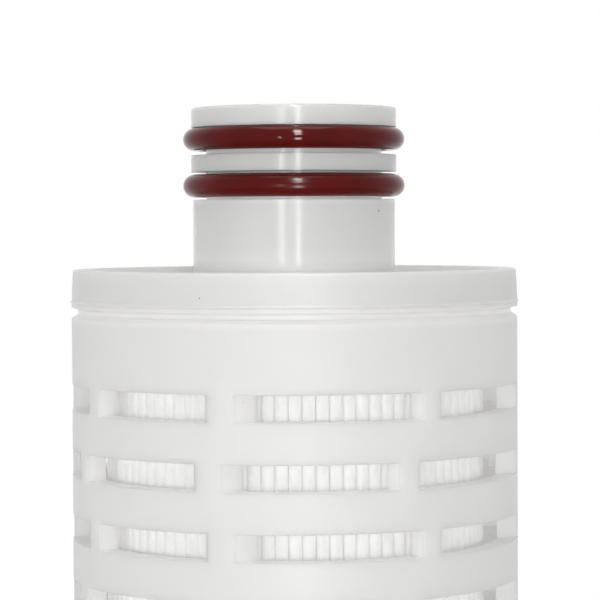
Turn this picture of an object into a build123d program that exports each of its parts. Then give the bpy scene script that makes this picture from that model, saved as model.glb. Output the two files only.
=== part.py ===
from build123d import *
import math
import os

# A pleated filter cartridge, standing upright. The origin is at the centre of
# the bottom face, and +Z runs along the axis, towards the outlet neck.
# Angles in plan are counted from the front (-Y), positive towards +X.

# Body
body_length = 249.0
body_diameter = 69.0

# End caps
skirt_height = 5.75
joint_groove_depth = 1.0
joint_groove_height = 1.0
lip_slope = 0.3
rim_width = 2.6
recess_depth = 1.2
skirt_bead_height = 0.5
skirt_bead_projection = 0.15
skirt_bead_offset = 0.6
skirt_taper = 0.2
cap_edge_bevel = 0.25
recess_wall_slope = 0.4
locating_ring_height = 3.0
locating_ring_wall = 2.0
ring_lead_in = 0.4
foot_recess_depth = 0.8
foot_rim_width = 6.0

# Outlet neck
neck_land_diameter = 31.8
lower_neck_step = 0.25
ring_groove_depth = 2.3
neck_wall = 1.6
lower_neck_height = 10.75
middle_land_height = 2.6
top_land_height = 3.05
neck_edge_radius = 0.4
neck_root_radius = 1.0
bore_edge_bevel = 0.4

# O-rings
ring_section = 3.53
ring_seat_gap = 0.03
ring_side_room = 0.72

# Outer cage
cage_wall = 3.1
cage_end_bevel_width = 1.0
cage_end_bevel_height = 0.6
slot_height = 4.0
slot_pitch = 10.0
least_end_band = 10.0
rib_thickness = 3.25

# Angles of the ribs between the slots of a row, all the way round. Rows differ in turn.
odd_row_ribs = (-60.5, -18.5, 35.4, 88.0, 112.7, 158.25, 208.8, 265.5)
even_row_ribs = (-67.3, -21.75, 28.8, 85.5, 108.0, 154.0, 203.5, 268.0)

# The four slides of the cage's mould draw along these directions
first_slide_angle = -56.0
slide_count = 4

# Pleated media
pleat_count = 90
pack_cage_gap = 2.2
sheet_thickness = 0.5
fold_gap = 0.08
fold_tip_rounding = 0.6
fold_corner_facets = 2

# Inner core
core_diameter = 35.0
core_wall = 2.0
core_fit_clearance = 0.2
pack_fit_clearance = 0.5
window_columns = 4
window_height = 18.0
window_pitch = 26.0
window_rib_width = 6.0
least_core_end_band = 12.0

# Heights and radii that follow from the sizes above
body_radius = body_diameter / 2
cap_edge_radius = body_radius - skirt_taper
cage_inner_radius = body_radius - cage_wall
pack_radius = cage_inner_radius - pack_cage_gap
core_radius = core_diameter / 2
core_inner_radius = core_radius - core_wall
land_radius = neck_land_diameter / 2
groove_floor_radius = land_radius - ring_groove_depth
bore_radius = groove_floor_radius - neck_wall
groove_height = ring_section + ring_side_room
joint_radius = body_radius - joint_groove_depth
cap_thickness = skirt_height + joint_groove_height
cage_bottom = cap_thickness
cage_top = body_length - cap_thickness
cage_length = cage_top - cage_bottom
lower_groove_bottom = body_length + lower_neck_height
lower_groove_top = lower_groove_bottom + groove_height
upper_groove_bottom = lower_groove_top + middle_land_height
upper_groove_top = upper_groove_bottom + groove_height
neck_top = upper_groove_top + top_land_height


def plan_direction(angle):
    """A level unit vector at an angle counted from the front."""
    turn = math.radians(angle)
    return Vector(math.sin(turn), -math.cos(turn))


def turned(corners):
    """A solid turned about Z from half of its section. A corner is (radius, height, rounding)."""
    points = [(radius, height) for radius, height, rounding in corners]
    roundings = [rounding for radius, height, rounding in corners]
    with BuildPart() as piece:
        with BuildSketch(Plane.XZ):
            with BuildLine():
                FilletPolyline(*points, radius=roundings, close=True)
            make_face()
        revolve(axis=Axis.Z)
    return piece.part


def even_rows(span, height, pitch, least_band):
    """Heights, from the middle of a span, of as many rows as leave the least band at each end."""
    count = int((span - 2 * least_band - height) // pitch) + 1
    return [(row - (count - 1) / 2) * pitch for row in range(count)]


def skirt_outline(edge_height, inward):
    """Corners of a cap's skirt, from its joint with the cage out to its outer edge."""
    joint_height = edge_height + inward * cap_thickness
    lip_height = edge_height + inward * skirt_height
    bead_start = lip_height - inward * skirt_bead_offset
    bead_end = bead_start - inward * skirt_bead_height
    bead_slope = inward * skirt_bead_projection
    bead_radius = body_radius + skirt_bead_projection
    return [
        (joint_radius, joint_height, 0),
        (joint_radius, lip_height + inward * lip_slope, 0),
        (body_radius, lip_height, 0),
        (body_radius, bead_start, 0),
        (bead_radius, bead_start - bead_slope, 0),
        (bead_radius, bead_end + bead_slope, 0),
        (body_radius, bead_end, 0),
        (cap_edge_radius, edge_height + inward * cap_edge_bevel, 0),
        (cap_edge_radius - cap_edge_bevel, edge_height, 0),
    ]


def adapter_end_cap():
    """The top cap with its outlet neck and two ring grooves, moulded as one."""
    joint_height = body_length - cap_thickness
    ring_outer = core_inner_radius - core_fit_clearance
    ring_height = joint_height - locating_ring_height
    recess_height = body_length - recess_depth
    rim_inner = cap_edge_radius - rim_width
    lower_neck_radius = land_radius - lower_neck_step
    neck = [
        (rim_inner, body_length, 0),
        (rim_inner - recess_depth * recess_wall_slope, recess_height, 0),
        (lower_neck_radius, recess_height, neck_root_radius),
        (lower_neck_radius, lower_groove_bottom, 0),
        (groove_floor_radius, lower_groove_bottom, 0),
        (groove_floor_radius, lower_groove_top, 0),
        (land_radius, lower_groove_top, 0),
        (land_radius, upper_groove_bottom, 0),
        (groove_floor_radius, upper_groove_bottom, 0),
        (groove_floor_radius, upper_groove_top, 0),
        (land_radius, upper_groove_top, 0),
        (land_radius, neck_top, neck_edge_radius),
        (bore_radius + bore_edge_bevel, neck_top, 0),
        (bore_radius, neck_top - bore_edge_bevel, 0),
    ]
    underside = [
        (bore_radius, ring_height + ring_lead_in, 0),
        (bore_radius + ring_lead_in, ring_height, 0),
        (ring_outer - ring_lead_in, ring_height, 0),
        (ring_outer, ring_height + ring_lead_in, 0),
        (ring_outer, joint_height, 0),
    ]
    return turned(skirt_outline(body_length, -1) + neck + underside)


def bottom_end_cap():
    """The closed cap on the far end, with a shallow recess inside its standing rim."""
    joint_height = cap_thickness
    ring_outer = core_inner_radius - core_fit_clearance
    ring_inner = ring_outer - locating_ring_wall
    ring_height = joint_height + locating_ring_height
    foot_inner = cap_edge_radius - foot_rim_width
    underside = [
        (foot_inner, 0, 0),
        (foot_inner - foot_recess_depth * recess_wall_slope, foot_recess_depth, 0),
        (0, foot_recess_depth, 0),
    ]
    inside = [
        (0, joint_height, 0),
        (ring_inner, joint_height, 0),
        (ring_inner, ring_height, 0),
        (ring_outer - ring_lead_in, ring_height, 0),
        (ring_outer, ring_height - ring_lead_in, 0),
        (ring_outer, joint_height, 0),
    ]
    return turned(skirt_outline(0, 1) + underside + inside)


def o_ring(centre_height):
    """A sealing ring round its groove's floor, at the given height."""
    section_radius = ring_section / 2
    centre_radius = groove_floor_radius + ring_seat_gap + section_radius
    with BuildPart() as ring:
        Torus(centre_radius, section_radius)
    return Pos(0, 0, centre_height) * ring.part


def nearest_slide(angle):
    """Direction of the mould slide that draws what lies at an angle in plan."""
    step = 360 / slide_count
    return first_slide_angle + step * round((angle - first_slide_angle) / step)


def slot_row_plan(ribs):
    """The open part of a row seen from above: a ring less its ribs, whose sides follow the slides."""
    overcut = cage_wall / 4
    reach = 2 * cage_wall
    with BuildSketch() as plan:
        Circle(body_radius + overcut)
        Circle(cage_inner_radius - overcut, mode=Mode.SUBTRACT)
        for angle in ribs:
            draw = nearest_slide(angle)
            foot = plan_direction(angle) * body_radius
            with Locations(Location((foot.X, foot.Y, 0), (0, 0, draw))):
                Rectangle(rib_thickness, 2 * reach, mode=Mode.SUBTRACT)
    return plan.sketch


def outer_cage():
    """The slotted tube, moulded as one, with a bevel at both ends."""
    bevel_radius = body_radius - cage_end_bevel_width
    tube = turned(
        [
            (cage_inner_radius, cage_bottom, 0),
            (bevel_radius, cage_bottom, 0),
            (body_radius, cage_bottom + cage_end_bevel_height, 0),
            (body_radius, cage_top - cage_end_bevel_height, 0),
            (bevel_radius, cage_top, 0),
            (cage_inner_radius, cage_top, 0),
        ]
    )
    middle = (cage_bottom + cage_top) / 2
    rows = even_rows(cage_length, slot_height, slot_pitch, least_end_band)
    plans = (slot_row_plan(odd_row_ribs), slot_row_plan(even_row_ribs))
    openings = []
    for index, height in enumerate(reversed(rows)):
        bottom = middle + height - slot_height / 2
        row = extrude(plans[index % 2], amount=slot_height)
        openings.append(Pos(0, 0, bottom) * row)
    return tube - openings


def tip_corners(half_width, rounding):
    """Points of one side of a fold's tip, as (distance from its middle, depth below its top)."""
    if rounding == 0:
        return [(half_width, 0)]
    steps = [step * math.pi / 2 / fold_corner_facets for step in range(fold_corner_facets + 1)]
    middle = half_width - rounding
    return [(middle + rounding * math.sin(turn), rounding * (1 - math.cos(turn))) for turn in steps]


def fold_outline(tip_radius, root_radius, tip_width, root_width, rounding):
    """A closed zigzag of folds, with the given flats at the tips and roots."""
    pitch_angle = 2 * math.pi / pleat_count
    right = tip_corners(tip_width / 2, rounding)
    left = [(-across, depth) for across, depth in reversed(right)]
    half_root = root_width / 2 / root_radius
    points = []
    for pleat in range(pleat_count):
        tip = pleat * pitch_angle
        root = tip + pitch_angle / 2
        fold = [(tip_radius - depth, tip + across / tip_radius) for across, depth in left + right]
        fold += [(root_radius, root - half_root), (root_radius, root + half_root)]
        points += [(radius * math.sin(angle), -radius * math.cos(angle)) for radius, angle in fold]
    return points


def pleated_media():
    """The folded sheet: one wall of even thickness that runs in and out all the way round."""
    root_radius = core_radius + pack_fit_clearance
    tip_width = 2 * math.pi * pack_radius / pleat_count - fold_gap
    root_flat = math.pi * root_radius / pleat_count + sheet_thickness
    skin = 2 * sheet_thickness
    outside = fold_outline(
        pack_radius, root_radius + sheet_thickness, tip_width, root_flat - skin, fold_tip_rounding
    )
    inside = fold_outline(pack_radius - sheet_thickness, root_radius, tip_width - skin, root_flat, 0)
    with BuildPart() as pack:
        with BuildSketch(Plane.XY.offset(cage_bottom)):
            Polygon(*outside, align=None)
            Polygon(*inside, align=None, mode=Mode.SUBTRACT)
        extrude(amount=cage_length)
    return pack.part


def inner_core():
    """The perforated tube inside the pleats."""
    middle = (cage_bottom + cage_top) / 2
    with BuildPart() as core:
        with BuildSketch(Plane.XY.offset(cage_bottom)):
            Circle(core_radius)
            Circle(core_inner_radius, mode=Mode.SUBTRACT)
        extrude(amount=cage_length)
        for height in even_rows(cage_length, window_height, window_pitch, least_core_end_band):
            with BuildSketch(Plane.XY.offset(middle + height - window_height / 2)):
                Circle(core_radius + core_wall)
                Circle(core_inner_radius - core_wall / 2, mode=Mode.SUBTRACT)
                with PolarLocations(core_radius, window_columns):
                    Rectangle(4 * core_wall, window_rib_width, mode=Mode.SUBTRACT)
            extrude(amount=window_height, mode=Mode.SUBTRACT)
    return core.part


def build():
    """Write one file for each piece."""
    section_radius = ring_section / 2
    upper_ring_height = upper_groove_top - section_radius - ring_seat_gap
    lower_ring_height = (lower_groove_bottom + lower_groove_top) / 2
    pieces = {
        "adapter_end_cap": adapter_end_cap(),
        "upper_o_ring": o_ring(upper_ring_height),
        "lower_o_ring": o_ring(lower_ring_height),
        "outer_cage": outer_cage(),
        "pleated_media": pleated_media(),
        "inner_core": inner_core(),
        "bottom_end_cap": bottom_end_cap(),
    }
    os.makedirs("parts", exist_ok=True)
    for name, shape in pieces.items():
        export_step(shape, f"parts/{name}.step")


build()
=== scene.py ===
import math

import bpy
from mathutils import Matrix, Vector


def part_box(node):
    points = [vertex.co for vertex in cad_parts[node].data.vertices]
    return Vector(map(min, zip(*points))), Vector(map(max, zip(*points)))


# Dresses the pleated filter cartridge, and gives it a floor, lights and a camera

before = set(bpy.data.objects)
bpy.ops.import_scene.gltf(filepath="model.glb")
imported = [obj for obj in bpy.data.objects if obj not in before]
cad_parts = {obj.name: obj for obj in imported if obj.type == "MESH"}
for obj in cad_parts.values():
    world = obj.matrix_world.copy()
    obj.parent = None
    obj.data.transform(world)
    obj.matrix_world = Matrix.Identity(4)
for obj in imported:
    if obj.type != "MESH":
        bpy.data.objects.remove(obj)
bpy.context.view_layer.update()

# Lengths are in metres
MM = 0.001
WHITE = (1, 1, 1, 1)

# The camera, from the photograph: the axis of the part stands at this column,
# and the level through the lens at this row, in a square frame
FRAME_SIDE = 600
AXIS_COLUMN = 294.5
HORIZON_ROW = 221.0
FOCAL_PIXELS = 2640.0
SENSOR_WIDTH = 36.0
CAMERA_DISTANCE = 410 * MM
CAMERA_ABOVE_RIM = 7.4 * MM
CAMERA_ROLL = math.radians(-0.28)

# Places that the scene follows, from the frame. The two caps are equally thick
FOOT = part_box("bottom_end_cap")[0].z
CAGE_LOW, CAGE_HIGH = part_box("outer_cage")
CAGE_RADIUS = CAGE_HIGH.x
CAP_THICKNESS = CAGE_LOW.z - FOOT
CAP_RIM = CAGE_HIGH.z + CAP_THICKNESS
NECK_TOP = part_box("adapter_end_cap")[1].z
LOWER_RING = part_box("lower_o_ring")
UPPER_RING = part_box("upper_o_ring")

# The joints between the cage and its caps, which get more painted light: a groove in the cap, and the
# cage's bevelled end
JOINT_GROOVE = 1.0 * MM
CAGE_BEVEL = 0.6 * MM
JOINT_FADE = 0.3 * MM

# How far the painted light in a ring's groove reaches, up and down from the level of the ring's
# underside
LOWER_GROOVE_LIT = 0.4 * MM
UPPER_GROOVE_LIT = 0.7 * MM
GROOVE_FADE = 0.1 * MM

# Above the cap's rim, the neck's painted shade and its smoothness set in over these heights
NECK_PAINTED_SHADE_FADE = 3 * MM
NECK_GLOSS_FADE = 1 * MM

# The painted light inside the cage, which brightens its slots, grows from its outer face down to this
# depth, and stays the same below it
PAINTED_GLOW_DEPTH = 0.8 * MM

# Specks of dirt that the photograph shows: across, along the view, above the cap's rim, and radius
SPECKS = (
    (12.84 * MM, -8.95 * MM, 8.9 * MM, 0.16 * MM),
    (-13.64 * MM, -31.7 * MM, -3.6 * MM, 0.12 * MM),
    (-7.38 * MM, -33.0 * MM, -18.5 * MM, 0.16 * MM),
)
# A speck darkens the plastic to this share, within this share of its radius. Lengths along the
# view count for only this share, so that it reaches the curved surface
SPECK_TONE = 0.1
SPECK_CORE = 0.4
SPECK_ALONG_VIEW = 0.15

# The surround's light: even, and a level band on top, which fades out between these sines of the
# elevation. The band is brightest at this azimuth from the camera's side, positive to the right,
# and falls to this share of that between these cosines of the angle from there
EVEN_LIGHT = 0.14
BAND_LIGHT = 3.6
BAND_SINES = (0.02, 0.25)
BRIGHT_SIDE = math.radians(-13)
FAR_SHARE = 0.42
FAR_COSINES = (0.2, 1.0)

# The floor, and the distances between which what it shows turns from partly white to all white
FLOOR_RADIUS = 2.5
FLOOR_SIDES = 96
FLOOR_COLOUR = (0.9, 0.9, 0.9, 1)
FLOOR_FADE = (0.25, 0.75)
NEAR_FLOOR_WHITE = 0.65

# Lamps, as seen from the middle of the cap's rim: azimuth from the camera's side, positive to the
# right, and elevation, both in degrees, then the distance, the two sides and the power
LAMP_TARGET = Vector((0, 0, CAP_RIM))
LAMPS = {
    "overhead": (0, 90, 1.2, (0.8, 0.8), 5.5),
    "upper_box": (4.8, 46, 1.0, (0.1, 0.2), 1.25),
    "level_strip": (4.8, 1.5, 1.0, (0.03, 0.07), 0.4),
    "left_level_strip": (-14.0, 1.5, 1.0, (0.025, 0.07), 0.34),
}
# Lamps that only show as glints on shiny surfaces. The low ones stand close, clear of the floor
GLINTS = {
    "upper_glint": (4.8, 40, 1.0, (0.11, 0.9), 12.5),
    "lower_glint": (4.8, -22, 0.42, (0.042, 0.15), 0.75),
    "left_glint": (-14.0, -13, 0.6, (0.035, 0.12), 0.25),
}


def new_material(name):
    """A new material, its empty tree, its output's socket, and the part's own coordinates."""
    material = bpy.data.materials.new(name)
    material.use_nodes = True
    tree = material.node_tree
    tree.nodes.clear()
    surface = tree.nodes.new("ShaderNodeOutputMaterial").inputs["Surface"]
    place = tree.nodes.new("ShaderNodeTexCoord").outputs["Object"]
    return material, tree, surface, place


def feed(tree, target, source):
    """Links an input to a socket, or sets it to a plain value."""
    if isinstance(source, bpy.types.NodeSocket):
        tree.links.new(source, target)
    else:
        target.default_value = source


def maths(tree, operation, *operands):
    """The result of a math node. Each operand is a socket or a number."""
    node = tree.nodes.new("ShaderNodeMath")
    node.operation = operation
    for target, operand in zip(node.inputs, operands):
        feed(tree, target, operand)
    return node.outputs["Value"]


def vector_maths(tree, operation, *operands):
    """The result of a vector math node: a value for a length or dot product, else a vector."""
    node = tree.nodes.new("ShaderNodeVectorMath")
    node.operation = operation
    for target, operand in zip(node.inputs, operands):
        feed(tree, target, operand)
    return node.outputs["Value" if operation in ("LENGTH", "DOT_PRODUCT") else "Vector"]


def height_of(tree, vector):
    """The upright part of a vector."""
    node = tree.nodes.new("ShaderNodeSeparateXYZ")
    tree.links.new(vector, node.inputs["Vector"])
    return node.outputs["Z"]


def noise(tree, coordinates, scale, detail, stretch=(1, 1, 1)):
    """The value of a noise texture."""
    mapping = tree.nodes.new("ShaderNodeMapping")
    mapping.inputs["Scale"].default_value = stretch
    texture = tree.nodes.new("ShaderNodeTexNoise")
    texture.inputs["Scale"].default_value = scale
    texture.inputs["Detail"].default_value = detail
    tree.links.new(coordinates, mapping.inputs["Vector"])
    tree.links.new(mapping.outputs["Vector"], texture.inputs["Vector"])
    return texture.outputs["Fac"]


def ramp(tree, value, stops):
    """A colour ramp. Each stop is (position, colour)."""
    node = tree.nodes.new("ShaderNodeValToRGB")
    elements = node.color_ramp.elements
    while len(elements) < len(stops):
        elements.new(0.5)
    for element, (position, colour) in zip(elements, stops):
        element.position = position
        element.color = (*colour, 1)
    tree.links.new(value, node.inputs["Fac"])
    return node.outputs["Color"]


def spread(tree, value, low, high, start, end):
    """Turns the values from start to end into those from low to high, smoothly."""
    node = tree.nodes.new("ShaderNodeMapRange")
    node.interpolation_type = "SMOOTHSTEP"
    node.inputs["From Min"].default_value = start
    node.inputs["From Max"].default_value = end
    node.inputs["To Min"].default_value = low
    node.inputs["To Max"].default_value = high
    tree.links.new(value, node.inputs["Value"])
    return node.outputs["Result"]


def multiplied(tree, first, second):
    """The product of two colours or values."""
    node = tree.nodes.new("ShaderNodeMix")
    node.data_type = "RGBA"
    node.blend_type = "MULTIPLY"
    node.inputs["Factor"].default_value = 1.0
    tree.links.new(first, node.inputs["A"])
    tree.links.new(second, node.inputs["B"])
    return node.outputs["Result"]


def mixed(tree, share, first, second):
    """Two shaders, of which the second has this share."""
    node = tree.nodes.new("ShaderNodeMixShader")
    for target, source in zip(node.inputs, (share, first, second)):
        tree.links.new(source, target)
    return node.outputs["Shader"]


def bump(tree, height, distance, strength, normal=None):
    """A bump of the given depth, on top of an earlier normal if there is one."""
    node = tree.nodes.new("ShaderNodeBump")
    node.inputs["Strength"].default_value = strength
    node.inputs["Distance"].default_value = distance
    tree.links.new(height, node.inputs["Height"])
    if normal is not None:
        tree.links.new(normal, node.inputs["Normal"])
    return node.outputs["Normal"]


def rounded(tree, radius):
    """The surface's normal with its edges rounded off."""
    node = tree.nodes.new("ShaderNodeBevel")
    node.samples = 6
    node.inputs["Radius"].default_value = radius
    return node.outputs["Normal"]


def principled(tree, surface, inputs):
    """A Principled shader as the material's surface. Each input is a socket or a plain value."""
    shader = tree.nodes.new("ShaderNodeBsdfPrincipled")
    for name, source in inputs.items():
        feed(tree, shader.inputs[name], source)
    tree.links.new(shader.outputs["BSDF"], surface)


def by_height(tree, coordinates, levels):
    """A value that changes with height. Each level is (height, value)."""
    share = tree.nodes.new("ShaderNodeMapRange")
    share.inputs["From Min"].default_value = FOOT
    share.inputs["From Max"].default_value = NECK_TOP
    tree.links.new(height_of(tree, coordinates), share.inputs["Value"])
    tall = NECK_TOP - FOOT
    stops = [((height - FOOT) / tall, (value, value, value)) for height, value in levels]
    return ramp(tree, share.outputs["Result"], stops)


def by_depth(tree, coordinates, deep):
    """A value that rises from zero at the cage's outer face to the given one inside it."""
    radius = vector_maths(tree, "LENGTH", vector_maths(tree, "MULTIPLY", coordinates, (1, 1, 0)))
    return spread(tree, radius, deep, 0.0, CAGE_RADIUS - PAINTED_GLOW_DEPTH, CAGE_RADIUS)


def between(low, high, fade, plain, inside):
    """Levels for a value that differs between two heights, and fades back outside them."""
    return [(low - fade, plain), (low, inside), (high, inside), (high + fade, plain)]


def at_joints(plain, joint):
    """Levels for painted light that differs at the joints between the cage and its caps."""
    levels = []
    for low, high in (
        (CAGE_LOW.z - JOINT_GROOVE, CAGE_LOW.z + CAGE_BEVEL),
        (CAGE_HIGH.z - CAGE_BEVEL, CAGE_HIGH.z + JOINT_GROOVE),
    ):
        levels += between(low, high, JOINT_FADE, plain, joint)
    return levels


def in_ring_grooves(plain, groove):
    """Levels for painted light that brightens the part of each ring groove that shows under its ring.
    """
    levels = []
    for ring, lit in ((LOWER_RING, LOWER_GROOVE_LIT), (UPPER_RING, UPPER_GROOVE_LIT)):
        low, high = ring[0].z - lit + GROOVE_FADE, ring[0].z + lit
        levels += between(low, high, GROOVE_FADE, plain, groove)
    return levels


def neck_painted_shade(neck, land):
    """Levels of painted shade: for the thin-walled neck, and darker for its land between the two dark
    rings.
    """
    return [
        (CAP_RIM, 1.0),
        (CAP_RIM + NECK_PAINTED_SHADE_FADE, neck),
        (LOWER_RING[0].z, neck),
        (LOWER_RING[1].z, land),
        (UPPER_RING[0].z, land),
        (UPPER_RING[1].z, neck),
    ]


def neck_gloss(neck):
    """Levels for the neck's roughness, as a share of the rest."""
    return [(CAP_RIM, 1.0), (CAP_RIM + NECK_GLOSS_FADE, neck)]


def speckled(tree, coordinates, colour):
    """The colour with the few specks of dirt, each only on the side where it lies."""
    for across, along, above, radius in SPECKS:
        offset = vector_maths(tree, "SUBTRACT", coordinates, (across, along, CAP_RIM + above))
        flattened = vector_maths(tree, "MULTIPLY", offset, (1, SPECK_ALONG_VIEW, 1))
        distance = vector_maths(tree, "LENGTH", flattened)
        tone = spread(tree, distance, SPECK_TONE, 1.0, SPECK_CORE * radius, radius)
        colour = multiplied(tree, colour, tone)
    return colour


def moulded_plastic(
    name, base, shade, roughness, specular, scatter, edge, painted_glow,
    deep_painted_glow=None, painted_shade=None, gloss=None,
):
    """Natural polypropylene: satin and faintly mottled, with painted light as a glow, and painted
    shade by height where levels are given.
    """
    material, tree, surface, place = new_material(name)
    colour = ramp(tree, noise(tree, place, scale=45, detail=3), [(0.3, shade), (0.7, base)])
    # Painted shade: the colour darkens by height where levels are given
    if painted_shade is not None:
        colour = multiplied(tree, colour, by_height(tree, place, painted_shade))
    # Painted light: a glow by height, and by depth inside the cage where given
    painted_light = by_height(tree, place, painted_glow)
    if deep_painted_glow is not None:
        painted_light = maths(tree, "ADD", painted_light, by_depth(tree, place, deep_painted_glow))
    streaks = noise(tree, place, scale=260, detail=2, stretch=(1, 1, 0.35))
    rough = spread(tree, streaks, low=roughness - 0.04, high=roughness + 0.05, start=0.3, end=0.7)
    if gloss is not None:
        rough = multiplied(tree, rough, by_height(tree, place, gloss))
    waves = noise(tree, place, scale=120, detail=2)
    grain = noise(tree, place, scale=1500, detail=2)
    normal = bump(tree, waves, distance=0.25 * MM, strength=0.1, normal=rounded(tree, edge))
    principled(tree, surface, {
        "Base Color": speckled(tree, place, colour),
        "Roughness": rough,
        "Normal": bump(tree, grain, distance=0.02 * MM, strength=0.15, normal=normal),
        "IOR": 1.49,
        "Specular IOR Level": specular,
        "Subsurface Weight": 1.0,
        "Subsurface Radius": (1.0, 0.97, 0.92),
        "Subsurface Scale": scatter,
        "Emission Color": (1, 0.97, 0.94, 1),
        "Emission Strength": painted_light,
    })
    return material


def media_sheet():
    """Non-woven sheet: matt, bright, and finely mottled along the pleats, with painted light as a
    glow that brightens the bars and the gaps between them.
    """
    material, tree, surface, place = new_material("media")
    shade, base = (0.80, 0.80, 0.795), (0.92, 0.92, 0.915)
    fibres = noise(tree, place, scale=900, detail=4, stretch=(1, 1, 0.4))
    normal = rounded(tree, 0.5 * MM)
    principled(tree, surface, {
        "Base Color": ramp(tree, fibres, [(0.3, shade), (0.65, base)]),
        "Roughness": 0.7,
        "Normal": bump(tree, fibres, distance=0.12 * MM, strength=0.5, normal=normal),
        "Specular IOR Level": 0.3,
        "Subsurface Weight": 1.0,
        "Subsurface Radius": (1.0, 1.0, 0.97),
        "Subsurface Scale": 0.8 * MM,
        "Emission Color": (1, 1, 0.99, 1),
        # Painted light: a glow that brightens the bars and fills the gaps between the folds
        "Emission Strength": 0.105,
    })
    return material


def ring_rubber(name, smoothest, roughest):
    """Dark red-brown silicone rubber: smooth, with a fine unevenness."""
    material, tree, surface, place = new_material(name)
    shade, base = (0.085, 0.0022, 0.001), (0.115, 0.003, 0.0015)
    clouds = noise(tree, place, scale=220, detail=3)
    grain = noise(tree, place, scale=900, detail=2)
    principled(tree, surface, {
        "Base Color": ramp(tree, clouds, [(0.3, shade), (0.7, base)]),
        "Roughness": spread(tree, clouds, low=smoothest, high=roughest, start=0.3, end=0.7),
        "Normal": bump(tree, grain, distance=0.02 * MM, strength=0.25),
        "IOR": 1.45,
        "Specular IOR Level": 0.15,
    })
    return material


def dress(node, material):
    """Gives a carried-over piece its finish."""
    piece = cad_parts[node]
    piece.data.materials.clear()
    piece.data.materials.append(material)


def shown_rays(tree):
    """One for the rays that show the surround: straight, mirrored or let through."""
    paths = tree.nodes.new("ShaderNodeLightPath")
    shown = paths.outputs["Is Camera Ray"]
    for kind in ("Is Glossy Ray", "Is Transmission Ray"):
        shown = maths(tree, "MAXIMUM", shown, paths.outputs[kind])
    return shown


def floor_material():
    """Pale floor that keeps the shadow near the part and fades to the plain white surround."""
    material, tree, surface, place = new_material("floor")
    distance = vector_maths(tree, "LENGTH", place)
    whiteness = spread(tree, distance, NEAR_FLOOR_WHITE, 1.0, *FLOOR_FADE)
    plain = tree.nodes.new("ShaderNodeBsdfDiffuse")
    plain.inputs["Color"].default_value = FLOOR_COLOUR
    white = tree.nodes.new("ShaderNodeEmission")
    white.inputs["Color"].default_value = WHITE
    white.inputs["Strength"].default_value = 1.0
    share = maths(tree, "MULTIPLY", whiteness, shown_rays(tree))
    tree.links.new(mixed(tree, share, plain.outputs["BSDF"], white.outputs["Emission"]), surface)
    return material


def add_floor():
    """A plain round floor under the part."""
    bpy.ops.mesh.primitive_circle_add(
        vertices=FLOOR_SIDES, radius=FLOOR_RADIUS, fill_type="NGON", location=(0, 0, FOOT)
    )
    floor = bpy.context.object
    floor.name = "floor"
    floor.data.materials.append(floor_material())


def background(tree, strength):
    """White light from all round. Its strength is a socket or a number."""
    node = tree.nodes.new("ShaderNodeBackground")
    node.inputs["Color"].default_value = WHITE
    feed(tree, node.inputs["Strength"], strength)
    return node.outputs["Background"]


def add_world():
    """A surround that lights the part, with a brighter level band, and shows as plain white."""
    world = bpy.data.worlds.new("surround")
    bpy.context.scene.world = world
    world.use_nodes = True
    tree = world.node_tree
    tree.nodes.clear()
    surface = tree.nodes.new("ShaderNodeOutputWorld").inputs["Surface"]
    way = tree.nodes.new("ShaderNodeTexCoord").outputs["Generated"]
    bright_way = (math.sin(BRIGHT_SIDE), -math.cos(BRIGHT_SIDE), 0)
    sine = maths(tree, "ABSOLUTE", height_of(tree, way))
    cosine = vector_maths(tree, "DOT_PRODUCT", way, bright_way)
    share = spread(tree, sine, 1.0, 0.0, *BAND_SINES)
    band = spread(tree, cosine, FAR_SHARE * BAND_LIGHT, BAND_LIGHT, *FAR_COSINES)
    lighting = maths(tree, "ADD", maths(tree, "MULTIPLY", share, band), EVEN_LIGHT)
    seen = mixed(tree, shown_rays(tree), background(tree, lighting), background(tree, 1.0))
    tree.links.new(seen, surface)


def add_lamp(name, azimuth, elevation, distance, sides, power):
    """An area lamp that faces the target from the given side."""
    data = bpy.data.lights.new(name, "AREA")
    data.shape = "RECTANGLE"
    data.size, data.size_y = sides
    data.energy = power
    lamp = bpy.data.objects.new(name, data)
    bpy.context.scene.collection.objects.link(lamp)
    turn, rise = math.radians(azimuth), math.radians(elevation)
    level = math.cos(rise)
    way = Vector((math.sin(turn) * level, -math.cos(turn) * level, math.sin(rise)))
    lamp.location = LAMP_TARGET + way * distance
    lamp.rotation_euler = (-way).to_track_quat("-Z", "Y").to_euler()
    lamp.visible_camera = False
    return lamp


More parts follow.
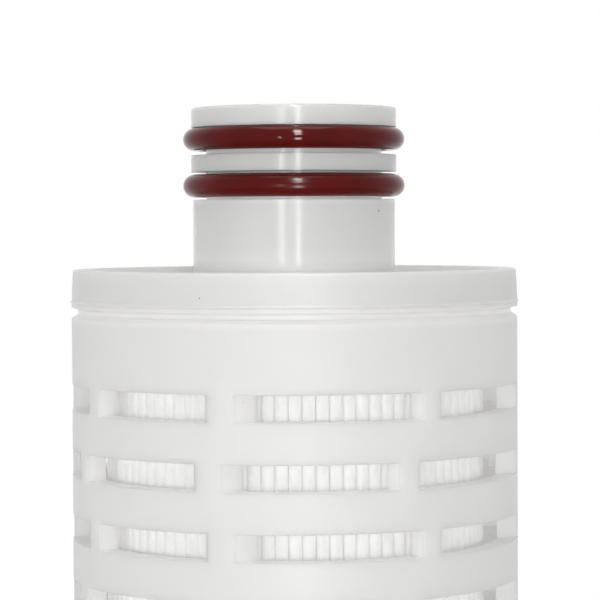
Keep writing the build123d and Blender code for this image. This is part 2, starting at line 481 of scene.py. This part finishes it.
def add_camera():
    """The photograph's view: nearly level, close, and with a long lens."""
    data = bpy.data.cameras.new("camera")
    data.sensor_width = SENSOR_WIDTH
    data.lens = FOCAL_PIXELS / FRAME_SIDE * SENSOR_WIDTH
    camera = bpy.data.objects.new("camera", data)
    bpy.context.scene.collection.objects.link(camera)
    bpy.context.scene.camera = camera
    middle = FRAME_SIDE / 2
    pitch = math.atan((middle - HORIZON_ROW) / FOCAL_PIXELS)
    yaw = math.atan((middle - AXIS_COLUMN) / FOCAL_PIXELS)
    camera.location = (0, -CAMERA_DISTANCE, CAP_RIM + CAMERA_ABOVE_RIM)
    aim = Vector((math.sin(yaw), math.cos(yaw), -math.tan(pitch)))
    camera.rotation_euler = aim.to_track_quat("-Z", "Y").to_euler()
    camera.rotation_euler.rotate_axis("Z", CAMERA_ROLL)


cage_plastic = moulded_plastic(
    "cage_plastic",
    base=(0.825, 0.825, 0.815),
    shade=(0.805, 0.805, 0.795),
    roughness=0.42,
    specular=0.3,
    scatter=6.0 * MM,
    edge=0.2 * MM,
    # Painted light: a faint glow all over, more at the cage's bevelled ends
    painted_glow=at_joints(0.04, 0.09),
    # Painted light inside the cage's slots, growing with depth
    deep_painted_glow=0.05,
)
cap_plastic = moulded_plastic(
    "cap_plastic",
    base=(0.79, 0.79, 0.782),
    shade=(0.77, 0.77, 0.762),
    roughness=0.38,
    specular=0.5,
    scatter=2.0 * MM,
    edge=0.15 * MM,
    # Painted light: a faint glow all over, more at the joints and in the ring grooves under the rings
    painted_glow=at_joints(0.02, 0.12) + in_ring_grooves(0.02, 0.17),
    # Painted shade on the neck, and more on its land between the rings
    painted_shade=neck_painted_shade(0.9, 0.78),
    gloss=neck_gloss(0.5),
)
dress("outer_cage", cage_plastic)
dress("adapter_end_cap", cap_plastic)
dress("bottom_end_cap", cap_plastic)
dress("inner_core", cage_plastic)
dress("pleated_media", media_sheet())
dress("upper_o_ring", ring_rubber("upper_ring_rubber", smoothest=0.05, roughest=0.09))
dress("lower_o_ring", ring_rubber("lower_ring_rubber", smoothest=0.14, roughest=0.22))

add_floor()
add_world()
for lamp_name, setting in LAMPS.items():
    add_lamp(lamp_name, *setting)
for lamp_name, setting in GLINTS.items():
    add_lamp(lamp_name, *setting).visible_diffuse = False
add_camera()

scene = bpy.context.scene
scene.view_settings.view_transform = "Standard"
